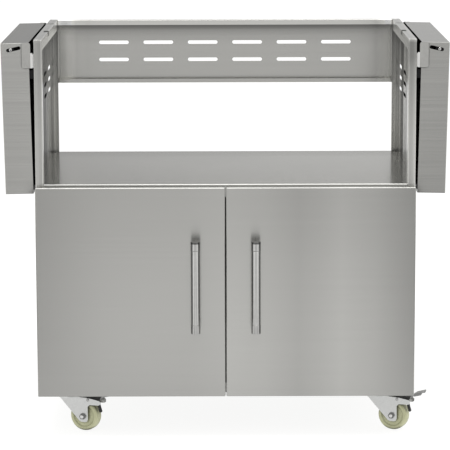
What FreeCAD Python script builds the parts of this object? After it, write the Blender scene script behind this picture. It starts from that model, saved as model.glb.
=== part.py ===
import FreeCAD, Part
import Sketcher
import math
import os
from FreeCAD import Vector, Placement, Rotation

# Open-topped stainless grill cart: two-door cabinet, open bay for a drop-in
# grill, fold-down side shelves and four swivel casters.
# +X right, +Y back, +Z up, millimetres, origin on the floor under the middle.

doc = FreeCAD.newDocument("GrillCart")
book = doc.addObject("Spreadsheet::Sheet", "Sizes")

CELLS = [
    ("body_width", 914.0, "width over the side panels"),
    ("body_depth", 580.0, "depth of the side panels"),
    ("front_y", -251.85, "Y of the front face of the posts"),
    ("rim_z", 974.0, "top of the side rails"),
    ("base_z", 112.5, "underside of the cabinet"),
    ("floor_z", 626.0, "top of the bay floor"),
    ("gauge", 1.2, "sheet thickness"),
    ("bend", 1.0, "outside bend radius of the frame sheets"),
    ("post_bend", 2.6, "outside bend radius of the posts"),
    ("post_width", 20.0, "width of posts and side rails"),
    ("post_lip", 20.0, "depth of the post return lip"),
    ("rail_lip", 26.0, "height of the rail return lip"),
    ("slip", 0.2, "assembly gap between sheets"),
    ("slot_long", 77.5, "vent slot length"),
    ("slot_tall", 9.0, "vent slot height"),
    ("back_pitch", 116.2, "vent slot pitch, back panel"),
    ("back_row_a", 914.0, "upper slot row, back panel"),
    ("back_row_b", 869.0, "lower slot row, back panel"),
    ("side_pitch", 148.0, "vent slot pitch, side panels"),
    ("side_row_a", 855.5, "upper slot row, side panels"),
    ("side_row_pitch", 28.5, "row pitch, side panels"),
    ("back_low_z", 810.0, "bottom of the upper back panel"),
    ("back_deep", 20.8, "depth of the upper back panel"),
    ("back_lip_top", 13.0, "top lip of the upper back panel"),
    ("back_lip_low", 10.0, "bottom lip of the upper back panel"),
    ("notch_y", 229.0, "rail notch, distance behind the posts"),
    ("notch_half", 17.0, "half length of the rail notch"),
    ("notch_deep", 11.0, "depth of the rail notch in the lip"),
    ("seam_y", 447.0, "rail joint, distance behind the posts"),
    ("seam_half", 6.5, "half width of the rail joint"),
    ("door_low_z", 107.5, "bottom of the doors"),
    ("door_high_z", 620.5, "top of the doors"),
    ("door_thick", 20.0, "door thickness"),
    ("door_gap", 3.0, "gap from the posts to the doors"),
    ("meet_gap", 2.2, "gap between the two doors"),
    ("door_bend", 2.6, "outside bend radius of the doors"),
    ("pivot_in", 7.0, "door pivot to the door's outer edge"),
    ("pivot_pin_r", 3.0, "door pivot pin radius"),
    ("tab_half", 5.5, "half width of the door pivot tab"),
    ("tab_thick", 3.0, "door pivot tab thickness"),
    ("tab_top_z", 614.5, "underside of the upper tab"),
    ("tab_low_z", 116.5, "underside of the lower tab"),
    ("handle_x", 72.5, "handle axis from the middle"),
    ("handle_r", 11.3, "handle bar radius"),
    ("handle_reach", 42.0, "handle axis in front of the door"),
    ("handle_low_z", 273.0, "bottom of the handle"),
    ("handle_high_z", 496.5, "top of the handle"),
    ("handle_cap", 22.0, "length of a handle end post"),
    ("stem_r", 7.0, "radius of the handle stem"),
    ("shelf_pivot_x", 511.5, "shelf pivot from the middle"),
    ("shelf_pivot_z", 950.0, "height of the shelf pivot"),
    ("shelf_over", 24.0, "shelf top sheet above the pivot when raised"),
    ("shelf_end", 16.0, "pivot to the hinge end of the shelf"),
    ("shelf_long", 363.5, "shelf length"),
    ("shelf_thick", 67.0, "shelf skirt height"),
    ("shelf_front", 3.0, "shelf front, distance behind the posts"),
    ("shelf_deep", 560.0, "shelf size from front to back"),
    ("shelf_bend", 1.5, "outside bend radius of the shelf"),
    ("shelf_lean", 1.1, "lean of the folded shelf in degrees"),
    ("guide_half", 4.25, "half width of the slanted guide slot"),
    ("guide_out", 6.0, "guide slot beyond the pivot, outwards"),
    ("guide_in", 20.3, "guide slot beyond the pivot, inwards"),
    ("guide_tilt", 11.7, "tilt of the guide slot in degrees"),
    ("shelf_pin_r", 4.2, "shelf pivot pin radius"),
    ("pin_nose_r", 3.4, "radius of the pin's bright end"),
    ("arm_thick", 3.0, "shelf bracket arm thickness"),
    ("plate_thick", 1.6, "shelf bracket plate thickness"),
    ("caster_x", 381.0, "swivel axis from the middle"),
    ("caster_front", 95.0, "front swivel axis behind the posts"),
    ("caster_rear", 485.0, "rear swivel axis behind the posts"),
    ("turn_front", 24.0, "front swivel angle at rest in degrees"),
    ("turn_rear", -70.0, "rear swivel angle at rest in degrees"),
    ("trail", 37.8, "swivel axis to wheel axle"),
    ("wheel_r", 37.5, "wheel radius"),
    ("wheel_half", 13.5, "half width of the wheel rim"),
    ("axle_r", 5.0, "axle sleeve radius"),
    ("fork_in", 15.0, "inside half width of the fork"),
    ("fork_thick", 2.5, "fork plate thickness"),
    ("fork_top_z", 85.0, "top of the fork"),
    ("king_r", 5.0, "king pin radius"),
    ("rivet_x", 51.5, "brake rivet behind the swivel axis"),
    ("rivet_z", 79.5, "brake rivet height"),
    ("rivet_r", 3.0, "brake rivet radius"),
    ("rivet_head_r", 3.8, "brake rivet head radius"),
    ("running", 0.05, "radial running clearance"),
]

VALUE = {}
for line, (alias, number, note) in enumerate(CELLS, 1):
    book.set("A%d" % line, note)
    book.set("B%d" % line, "%g" % number)
    book.setAlias("B%d" % line, alias)
    VALUE[alias] = float(number)
doc.recompute()


class Size:
    """A length that keeps its value and the cell formula that gives it."""

    def __init__(self, value, text):
        self.value = float(value)
        self.text = text

    def __add__(self, other):
        other = size(other)
        return Size(self.value + other.value, "(%s + %s)" % (self.text, other.text))

    def __sub__(self, other):
        other = size(other)
        return Size(self.value - other.value, "(%s - %s)" % (self.text, other.text))

    def __mul__(self, other):
        other = size(other)
        return Size(self.value * other.value, "(%s * %s)" % (self.text, other.text))

    def __truediv__(self, other):
        other = size(other)
        return Size(self.value / other.value, "(%s / %s)" % (self.text, other.text))

    def __neg__(self):
        return Size(-self.value, "(0 - %s)" % self.text)

    def __radd__(self, other):
        return size(other) + self

    def __rsub__(self, other):
        return size(other) - self

    def __rmul__(self, other):
        return size(other) * self


def size(item):
    if isinstance(item, Size):
        return item
    return Size(item, "%.6f" % item if item >= 0 else "(0 - %.6f)" % -item)


def cell(alias):
    return Size(VALUE[alias], "Sizes." + alias)


def bind(thing, where, amount):
    thing.setExpression(where, size(amount).text)


def box(label, x, y, z, side=1):
    """Block between (low, high) pairs; side -1 mirrors it to the left."""
    x0, x1 = size(x[0]), size(x[1])
    if side < 0:
        x0, x1 = -x1, -x0
    thing = doc.addObject("Part::Box", label)
    bind(thing, "Length", x1 - x0)
    bind(thing, "Width", size(y[1]) - y[0])
    bind(thing, "Height", size(z[1]) - z[0])
    bind(thing, "Placement.Base.x", x0)
    bind(thing, "Placement.Base.y", y[0])
    bind(thing, "Placement.Base.z", z[0])
    return thing


TURN = {
    "X": Rotation(Vector(0, 1, 0), 90),
    "Y": Rotation(Vector(1, 0, 0), -90),
    "Z": Rotation(),
}


def rod(label, along, radius, span, a, b, side=1):
    """Round bar along an axis over span; a and b are the two other coordinates."""
    low, high = size(span[0]), size(span[1])
    if along == "X":
        if side < 0:
            low, high = -high, -low
        place = (low, a, b)
    elif along == "Y":
        place = (size(a) * side, low, b)
    else:
        place = (size(a) * side, b, low)
    thing = doc.addObject("Part::Cylinder", label)
    thing.Placement = Placement(Vector(0, 0, 0), TURN[along])
    bind(thing, "Radius", radius)
    bind(thing, "Height", high - low)
    bind(thing, "Placement.Base.x", place[0])
    bind(thing, "Placement.Base.y", place[1])
    bind(thing, "Placement.Base.z", place[2])
    return thing


def hexagon(label, along, circum, span, a, b, side=1):
    """Hexagonal bar along an axis over span."""
    low, high = size(span[0]), size(span[1])
    if along == "Y":
        place = (size(a) * side, low, b)
    else:
        place = (size(a) * side, b, low)
    thing = doc.addObject("Part::Prism", label)
    thing.Polygon = 6
    thing.Placement = Placement(Vector(0, 0, 0), TURN[along])
    bind(thing, "Circumradius", circum)
    bind(thing, "Height", high - low)
    bind(thing, "Placement.Base.x", place[0])
    bind(thing, "Placement.Base.y", place[1])
    bind(thing, "Placement.Base.z", place[2])
    return thing


def fuse(label, things):
    if len(things) == 1:
        return things[0]
    thing = doc.addObject("Part::MultiFuse", label)
    thing.Shapes = things
    thing.Refine = True
    return thing


def group(label, things):
    thing = doc.addObject("Part::Compound", label)
    thing.Links = things
    return thing


def cut(label, base, tools):
    tool = tools[0] if len(tools) == 1 else group(label + "_tools", tools)
    thing = doc.addObject("Part::Cut", label)
    thing.Base = base
    thing.Tool = tool
    return thing


def rounded(label, base, radius, pick):
    """Fillet on the edges of base whose middle point and direction suit pick."""
    doc.recompute()
    chosen = []
    for number, edge in enumerate(base.Shape.Edges, 1):
        a, b = edge.Vertexes[0].Point, edge.Vertexes[-1].Point
        if pick((a + b) * 0.5, (b - a)):
            chosen.append((number, size(radius).value, size(radius).value))
    if not chosen:
        raise RuntimeError("no edge to round on " + label)
    thing = doc.addObject("Part::Fillet", label)
    thing.Base = base
    thing.Edges = chosen
    return thing


def runs(direction, axis):
    x, y, z = abs(direction.x), abs(direction.y), abs(direction.z)
    long = {"X": x, "Y": y, "Z": z}
    other = sum(long.values()) - long[axis]
    return long[axis] > 1e-6 and other < 1e-6


def near(a, b):
    return abs(a - size(b).value) < 1e-4


def obround(label, along, span, middle, height, lengthwise):
    """Rounded-end slot cutter. along: cutting axis; middle: (long axis, Z)."""
    half = cell("slot_long") / 2
    if along == "Y":
        block = box(label + "_block", (size(middle[0]) - half, size(middle[0]) + half),
                    span, (size(middle[1]) - height / 2, size(middle[1]) + height / 2))
    else:
        block = box(label + "_block", span,
                    (size(middle[0]) - half, size(middle[0]) + half),
                    (size(middle[1]) - height / 2, size(middle[1]) + height / 2))
    return rounded(label, block, height * 0.498, lambda m, d: runs(d, along))


def profile(label, plane, points, length, offset=0.0):
    """Body padded from a closed outline drawn on one of its own origin planes.

    plane XZ pads towards +Y from offset, plane YZ towards +X, plane XY towards +Z.
    """
    body = doc.addObject("PartDesign::Body", label)
    role = {"XY": "XY_Plane", "XZ": "XZ_Plane", "YZ": "YZ_Plane"}[plane]
    base = [item for item in body.Origin.OriginFeatures if item.Role == role][0]
    sketch = body.newObject("Sketcher::SketchObject", label + "_outline")
    sketch.AttachmentSupport = [(base, "")]
    sketch.MapMode = "FlatFace"
    count = len(points)
    for number in range(count):
        ax, ay = size(points[number][0]).value, size(points[number][1]).value
        bx, by = size(points[(number + 1) % count][0]).value, size(points[(number + 1) % count][1]).value
        sketch.addGeometry(Part.LineSegment(Vector(ax, ay, 0), Vector(bx, by, 0)), False)
    for number in range(count):
        sketch.addConstraint(Sketcher.Constraint("Coincident", number, 2, (number + 1) % count, 1))
    for number in range(count):
        for kind, axis, amount in (("DistanceX", -2, size(points[number][0])), ("DistanceY", -1, size(points[number][1]))):
            if abs(amount.value) < 1e-9:
                sketch.addConstraint(Sketcher.Constraint("PointOnObject", number, 1, axis))
                continue
            if amount.value > 0:
                index = sketch.addConstraint(Sketcher.Constraint(kind, -1, 1, number, 1, amount.value))
                sketch.setExpression("Constraints[%d]" % index, amount.text)
            else:
                index = sketch.addConstraint(Sketcher.Constraint(kind, number, 1, -1, 1, -amount.value))
                sketch.setExpression("Constraints[%d]" % index, (-amount).text)
    pad = body.newObject("PartDesign::Pad", label + "_pad")
    pad.Profile = sketch
    bind(pad, "Length", length)
    if plane == "XZ":
        pad.Reversed = True
    sketch.Visibility = False
    if plane == "XZ":
        bind(body, "Placement.Base.y", offset)
    elif plane == "YZ":
        bind(body, "Placement.Base.x", offset)
    else:
        bind(body, "Placement.Base.z", offset)
    return body


def turned(label, points):
    """Body of revolution about Z from (radius, height) points."""
    body = doc.addObject("PartDesign::Body", label)
    base = [item for item in body.Origin.OriginFeatures if item.Role == "XZ_Plane"][0]
    sketch = body.newObject("Sketcher::SketchObject", label + "_outline")
    sketch.AttachmentSupport = [(base, "")]
    sketch.MapMode = "FlatFace"
    count = len(points)
    for number in range(count):
        ax, ay = size(points[number][0]).value, size(points[number][1]).value
        bx, by = size(points[(number + 1) % count][0]).value, size(points[(number + 1) % count][1]).value
        sketch.addGeometry(Part.LineSegment(Vector(ax, ay, 0), Vector(bx, by, 0)), False)
    for number in range(count):
        sketch.addConstraint(Sketcher.Constraint("Coincident", number, 2, (number + 1) % count, 1))
    for number in range(count):
        for kind, axis, amount in (("DistanceX", -2, size(points[number][0])), ("DistanceY", -1, size(points[number][1]))):
            if abs(amount.value) < 1e-9:
                sketch.addConstraint(Sketcher.Constraint("PointOnObject", number, 1, axis))
                continue
            if amount.value > 0:
                index = sketch.addConstraint(Sketcher.Constraint(kind, -1, 1, number, 1, amount.value))
                sketch.setExpression("Constraints[%d]" % index, amount.text)
            else:
                index = sketch.addConstraint(Sketcher.Constraint(kind, number, 1, -1, 1, -amount.value))
                sketch.setExpression("Constraints[%d]" % index, (-amount).text)
    spin = body.newObject("PartDesign::Revolution", label + "_turn")
    spin.Profile = sketch
    spin.ReferenceAxis = (sketch, ["V_Axis"])
    spin.Angle = 360.0
    sketch.Visibility = False
    return body


W = cell("body_width") / 2
F = cell("front_y")
D = cell("body_depth")
RIM = cell("rim_z")
BASE = cell("base_z")
FLOOR = cell("floor_z")
G = cell("gauge")
POST = cell("post_width")
INNER = W - POST
SLIP = cell("slip")
REAR = F + D
SIDES = (("left", -1), ("right", 1))
nodes = []


def node(thing, label):
    thing.Label = label
    nodes.append(thing)
    return thing


# ---------------------------------------------------------------- frame

DOOR_BACK = F - cell("door_gap")
DOOR_FRONT = DOOR_BACK - cell("door_thick")
PIVOT_X = W - cell("pivot_in")
PIVOT_Y = DOOR_BACK - cell("door_thick") / 2


def side_panel(word, side):
    """Sheet pan: outer sheet, flanges turned in as posts and rails, return lips."""
    tag = "side_panel_" + word
    block = box(tag + "_block", (INNER, W), (F, REAR), (BASE, RIM), side)
    shell = rounded(tag + "_post_bends", block, cell("post_bend"), lambda m, d: runs(d, "Z"))
    shell = rounded(tag + "_bends", shell, cell("bend"), lambda m, d: near(m.z, RIM))
    tools = [
        box(tag + "_hollow", (INNER + G, W - G), (F + G, REAR - G), (BASE + G, RIM - G), side),
        box(tag + "_mouth", (INNER - 2, INNER + G + 1), (F + cell("post_lip"), REAR - cell("post_lip")),
            (BASE + cell("rail_lip"), RIM - cell("rail_lip")), side),
        box(tag + "_notch", (INNER - 2, INNER + 11), (F + cell("notch_y") - cell("notch_half"), F + cell("notch_y") + cell("notch_half")),
            (RIM - cell("notch_deep"), RIM + 2), side),
        box(tag + "_seam", (INNER - 2, W - 3), (F + cell("seam_y") - cell("seam_half"), F + cell("seam_y") + cell("seam_half")),
            (RIM - 3, RIM + 2), side),
    ]
    for height in ("tab_top_z", "tab_low_z"):
        tools.append(box(tag + "_slit_" + height, (PIVOT_X - cell("tab_half") - 0.1, PIVOT_X + cell("tab_half") + 0.1),
                         (F - 1, F + G + 0.3), (cell(height) - 0.1, cell(height) + cell("tab_thick") + 0.1), side))
    span = (W - 4, W + 2) if side > 0 else (-W - 2, -W + 4)
    for row in range(3):
        for column in range(4):
            tools.append(obround("%s_slot_%d_%d" % (tag, row, column), "X", span,
                                 (F + D / 2 + cell("side_pitch") * (column - 1.5),
                                  cell("side_row_a") - cell("side_row_pitch") * row),
                                 cell("slot_tall") + 1, "Y"))
    return cut(tag, shell, tools)


for word, side in SIDES:
    node(side_panel(word, side), "side_panel_" + word)

# Upper back panel: channel between the rear posts, open to the front.
tag = "back_panel_upper"
BX = INNER - SLIP
BY = REAR - G
block = box(tag + "_block", (-BX, BX), (BY - cell("back_deep"), BY), (cell("back_low_z"), RIM))
shell = rounded(tag + "_bends", block, cell("bend"),
                lambda m, d: runs(d, "X"))
tools = [
    box(tag + "_hollow", (-BX + G, BX - G), (BY - cell("back_deep") + G, BY - G), (cell("back_low_z") + G, RIM - G)),
    box(tag + "_mouth", (-BX + G, BX - G), (BY - cell("back_deep") - 2, BY - cell("back_deep") + G + 1),
        (cell("back_low_z") + cell("back_lip_low"), RIM - cell("back_lip_top"))),
]
for row, height in enumerate(("back_row_a", "back_row_b")):
    for column in range(6):
        tools.append(obround("%s_slot_%d_%d" % (tag, row, column), "Y", (BY - 4, BY + 2),
                             (cell("back_pitch") * (column - 2.5), cell(height)), cell("slot_tall"), "X"))
node(cut(tag, shell, tools), tag)

# Bay floor: flat sheet notched round the posts, flanges turned down.
tag = "bay_floor"
NX = INNER - SLIP
block = box(tag + "_block", (-NX, NX), (F, REAR - G), (FLOOR - 31, FLOOR))
shell = rounded(tag + "_nose", block, 2.6, lambda m, d: runs(d, "X") and near(m.z, FLOOR))
centre = cut(tag + "_centre", shell, [
    box(tag + "_under", (-NX - 2, NX + 2), (F + G, REAR - G * 2), (FLOOR - 40, FLOOR - G))])
WX = W - G - SLIP
wide = cut(tag + "_wide", box(tag + "_wings", (-WX, WX), (F + cell("post_lip") + SLIP, REAR - cell("post_lip") - SLIP), (FLOOR - 16, FLOOR)), [
    box(tag + "_wing_under", (-WX + G, WX - G), (F - 5, REAR + 5), (FLOOR - 30, FLOOR - G))])
node(fuse(tag, [centre, wide]), tag)

# Cross rail behind the nose of the bay floor.
tag = "front_rail"
node(cut(tag, box(tag + "_block", (-NX, NX), (F + G + SLIP, F + 27), (FLOOR - 31, FLOOR - G - SLIP)), [
    box(tag + "_hollow", (-NX - 2, NX + 2), (F + G * 2 + SLIP, F + 40), (FLOOR - 31 + G, FLOOR - G * 2 - SLIP))]), tag)

# Base panel: pan with flanges turned up.
tag = "base_panel"
block = box(tag + "_block", (-NX, NX), (F, REAR - G), (BASE, BASE + 24))
shell = rounded(tag + "_bends", block, cell("bend"), lambda m, d: near(m.z, BASE) and runs(d, "X"))
tools = [box(tag + "_hollow", (-NX + G, NX - G), (F + G, REAR - G * 2), (BASE + G, BASE + 40))]
CASTERS = (
    ("front_left", -1, "caster_front"), ("front_right", 1, "caster_front"),
    ("rear_left", -1, "caster_rear"), ("rear_right", 1, "caster_rear"),
)
for name, side, depth in CASTERS:
    for number, (dx, dy) in enumerate(((-27, -27), (27, -27), (27, 27), (-27, 27))):
        tools.append(rod("%s_hole_%s_%d" % (tag, name, number), "Z", 3.2, (BASE - 2, BASE + 5),
                         cell("caster_x") + dx * side, F + cell(depth) + dy, side))
node(cut(tag, shell, tools), tag)

# Lower back panel: closes the cabinet between the rear posts, vented low and high.
tag = "back_panel_lower"
LX = NX - G - SLIP
LY = REAR - G * 2 - SLIP
tools = [box(tag + "_hollow", (-LX + G, LX - G), (LY - 30, LY - G), (BASE + G + SLIP - 5, FLOOR))]
for row, height in enumerate((FLOOR - 60, BASE + 60)):
    for column in range(6):
        tools.append(obround("%s_slot_%d_%d" % (tag, row, column), "Y", (LY - 4, LY + 3),
                             (cell("back_pitch") * (column - 2.5), height), cell("slot_tall"), "X"))
node(cut(tag, box(tag + "_block", (-LX, LX), (LY - 14, LY), (BASE + G + SLIP, FLOOR - G - SLIP)), tools), tag)

# ---------------------------------------------------------------- doors

# Pivot tabs reach through the posts into the corner notches of the doors.
tabs = []
for word, side in SIDES:
    for height, pin in (("tab_top_z", (cell("tab_top_z") - 12, cell("tab_top_z"))),
                        ("tab_low_z", (cell("tab_low_z") + cell("tab_thick"), cell("tab_low_z") + cell("tab_thick") + 12))):
        tag = "tab_%s_%s" % (word, height)
        tabs.append(fuse(tag, [
            box(tag + "_plate", (PIVOT_X - cell("tab_half"), PIVOT_X + cell("tab_half")), (PIVOT_Y, F + 15),
                (cell(height), cell(height) + cell("tab_thick")), side),
            rod(tag + "_nose", "Z", cell("tab_half"), (cell(height), cell(height) + cell("tab_thick")), PIVOT_X, PIVOT_Y, side),
            rod(tag + "_pin", "Z", cell("pivot_pin_r"), pin, PIVOT_X, PIVOT_Y, side)]))
node(group("door_pivot_tabs", tabs), "door_pivot_tabs")

MX = cell("meet_gap") / 2
DZ0, DZ1 = cell("door_low_z"), cell("door_high_z")
NOTCH_TOP = cell("tab_top_z") - 1.5
NOTCH_LOW = cell("tab_low_z") + cell("tab_thick") + 1.5


def door(word, side):
    tag = "door_%s" % word
    block = box(tag + "_block", (MX, W), (DOOR_FRONT, DOOR_BACK), (DZ0, DZ1), side)
    shell = rounded(tag + "_bends", block, cell("door_bend"),
                    lambda m, d: near(m.y, DOOR_FRONT) or runs(d, "Y"))
    notch_x = (PIVOT_X - cell("tab_half") - 4.5, W + 2)
    notch_y = (DOOR_FRONT + G + 0.1, DOOR_BACK + 2)
    notches = (("top", (NOTCH_TOP, DZ1 + 2)), ("low", (DZ0 - 2, NOTCH_LOW)))
    tools = [box(tag + "_hollow", (MX + G, W - G), (DOOR_FRONT + G, DOOR_BACK + 5), (DZ0 + G, DZ1 - G), side)]
    for name, span in notches:
        tools.append(box("%s_notch_%s" % (tag, name), notch_x, notch_y, span, side))
    screws = (cell("handle_low_z") + cell("handle_cap") / 2, cell("handle_high_z") - cell("handle_cap") / 2)
    for number, height in enumerate(screws):
        tools.append(rod("%s_screw_hole_%d" % (tag, number), "Y", 3.1, (DOOR_FRONT - 2, DOOR_FRONT + 5),
                         cell("handle_x"), height, side))
    node(cut(tag + "_skin", shell, tools), tag + "_skin")

    # Liner: inner pan that closes the back of the door.
    inner = G + 0.05
    plate = box(tag + "_liner_block", (MX + inner, W - inner), (DOOR_BACK - 11, DOOR_BACK), (DZ0 + inner, DZ1 - inner), side)
    tools = [box(tag + "_liner_hollow", (MX + inner + G, W - inner - G), (DOOR_BACK - 20, DOOR_BACK - G),
                 (DZ0 + inner + G, DZ1 - inner - G), side)]
    for name, span in (("top", (NOTCH_TOP - 13, DZ1 + 2)), ("low", (DZ0 - 2, NOTCH_LOW + 13))):
        tools.append(box("%s_liner_notch_%s" % (tag, name), notch_x, (DOOR_BACK - 25, DOOR_BACK + 2), span, side))
    node(cut(tag + "_liner", plate, tools), tag + "_liner")

    # Nylon bushes that turn on the pivot pins.
    bushes = []
    for name, span in (("top", (NOTCH_TOP - 12.5, NOTCH_TOP)), ("low", (NOTCH_LOW, NOTCH_LOW + 12.5))):
        bushes.append(cut("%s_bush_%s" % (tag, name),
                          box("%s_bush_%s_block" % (tag, name), (PIVOT_X - cell("tab_half") - 4, W - inner),
                              (DOOR_FRONT + inner, DOOR_BACK - 0.5), span, side),
                          [rod("%s_bush_%s_bore" % (tag, name), "Z", cell("pivot_pin_r") + cell("running"),
                               (span[0] - 2, span[1] + 2), PIVOT_X, PIVOT_Y, side)]))
    node(group(tag + "_bushes", bushes), tag + "_bushes")

    # Handle: bar between two end posts, stems to the door.
    hx, hy = cell("handle_x"), DOOR_FRONT - cell("handle_reach")
    low, high = cell("handle_low_z"), cell("handle_high_z")
    seam = 1.0
    bar = rod(tag + "_bar_block", "Z", cell("handle_r") - 0.5, (low + cell("handle_cap"), high - cell("handle_cap")), hx, hy, side)
    node(rounded(tag + "_handle_bar", bar, seam, lambda m, d: True if abs(d.z) < 1e-6 else False), tag + "_handle_bar")
    posts = []
    for name, span, free in (("low", (low, low + cell("handle_cap")), low), ("top", (high - cell("handle_cap"), high), high)):
        end = rod("%s_post_%s_block" % (tag, name), "Z", cell("handle_r"), span, hx, hy, side)
        end = rounded("%s_post_%s_end" % (tag, name), end, 0.6, lambda m, d, free=free: near(m.z, free) and abs(d.z) < 1e-6)
        end = rounded("%s_post_%s_seam" % (tag, name), end, seam,
                      lambda m, d, free=free: abs(m.z - free.value) > 15 and abs(d.z) < 1e-6)
        middle = (span[0] + span[1]) / 2
        stem = rod("%s_post_%s_stem" % (tag, name), "Y", cell("stem_r"), (hy, DOOR_FRONT), hx, middle, side)
        whole = fuse("%s_post_%s_whole" % (tag, name), [end, stem])
        posts.append(cut("%s_post_%s" % (tag, name), whole,
                         [rod("%s_post_%s_bore" % (tag, name), "Y", 3.05, (DOOR_FRONT - 16, DOOR_FRONT + 2), hx, middle, side)]))
    node(group(tag + "_handle_posts", posts), tag + "_handle_posts")
    screw_parts = []
    for number, height in enumerate(screws):
        screw_parts.append(fuse("%s_screw_%d" % (tag, number), [
            rod("%s_screw_%d_shank" % (tag, number), "Y", 3.0, (DOOR_FRONT - 15, DOOR_FRONT + G), hx, height, side),
            rod("%s_screw_%d_head" % (tag, number), "Y", 6.0, (DOOR_FRONT + G, DOOR_FRONT + G + 3.5), hx, height, side)]))
    node(group(tag + "_handle_screws", screw_parts), tag + "_handle_screws")
    node(box(tag + "_strike", (MX + 18, MX + 54), (DOOR_BACK, DOOR_BACK + 0.8), (FLOOR - 26, FLOOR - 14), side), tag + "_strike")


for word, side in SIDES:
    door(word, side)

# Magnets and rubber bumpers on the front flange of the bay floor and base.
node(group("door_magnets", [
    box("magnet_" + word, (MX + 22, MX + 50), (F - 1.7, F), (FLOOR - 25, FLOOR - 15), side) for word, side in SIDES]), "door_magnets")
bumpers = []
for word, side in SIDES:
    for name, height in (("top", FLOOR - 20), ("low", BASE + 12)):
        bumpers.append(rod("bumper_%s_%s" % (word, name), "Y", 5.0, (F - 2.6, F), MX + 90, height, side))
node(group("door_bumpers", bumpers), "door_bumpers")

# ---------------------------------------------------------------- shelves

PX, PZ = cell("shelf_pivot_x"), cell("shelf_pivot_z")
SX1 = PX + cell("shelf_over")
SX0 = SX1 - cell("shelf_thick")
SZ1 = PZ + cell("shelf_end")
SZ0 = SZ1 - cell("shelf_long")
SY0 = F + cell("shelf_front")
SY1 = SY0 + cell("shelf_deep")


def lean(thing, side):
    """Turn a shelf piece about its pivot to the folded rest angle."""
    spot = Vector(PX.value * side, 0, PZ.value)
    turn = Rotation(Vector(0, 1, 0), VALUE["shelf_lean"] * side)
    thing.Placement = Placement(spot - turn.multVec(spot), turn).multiply(thing.Placement)
    return thing


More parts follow.
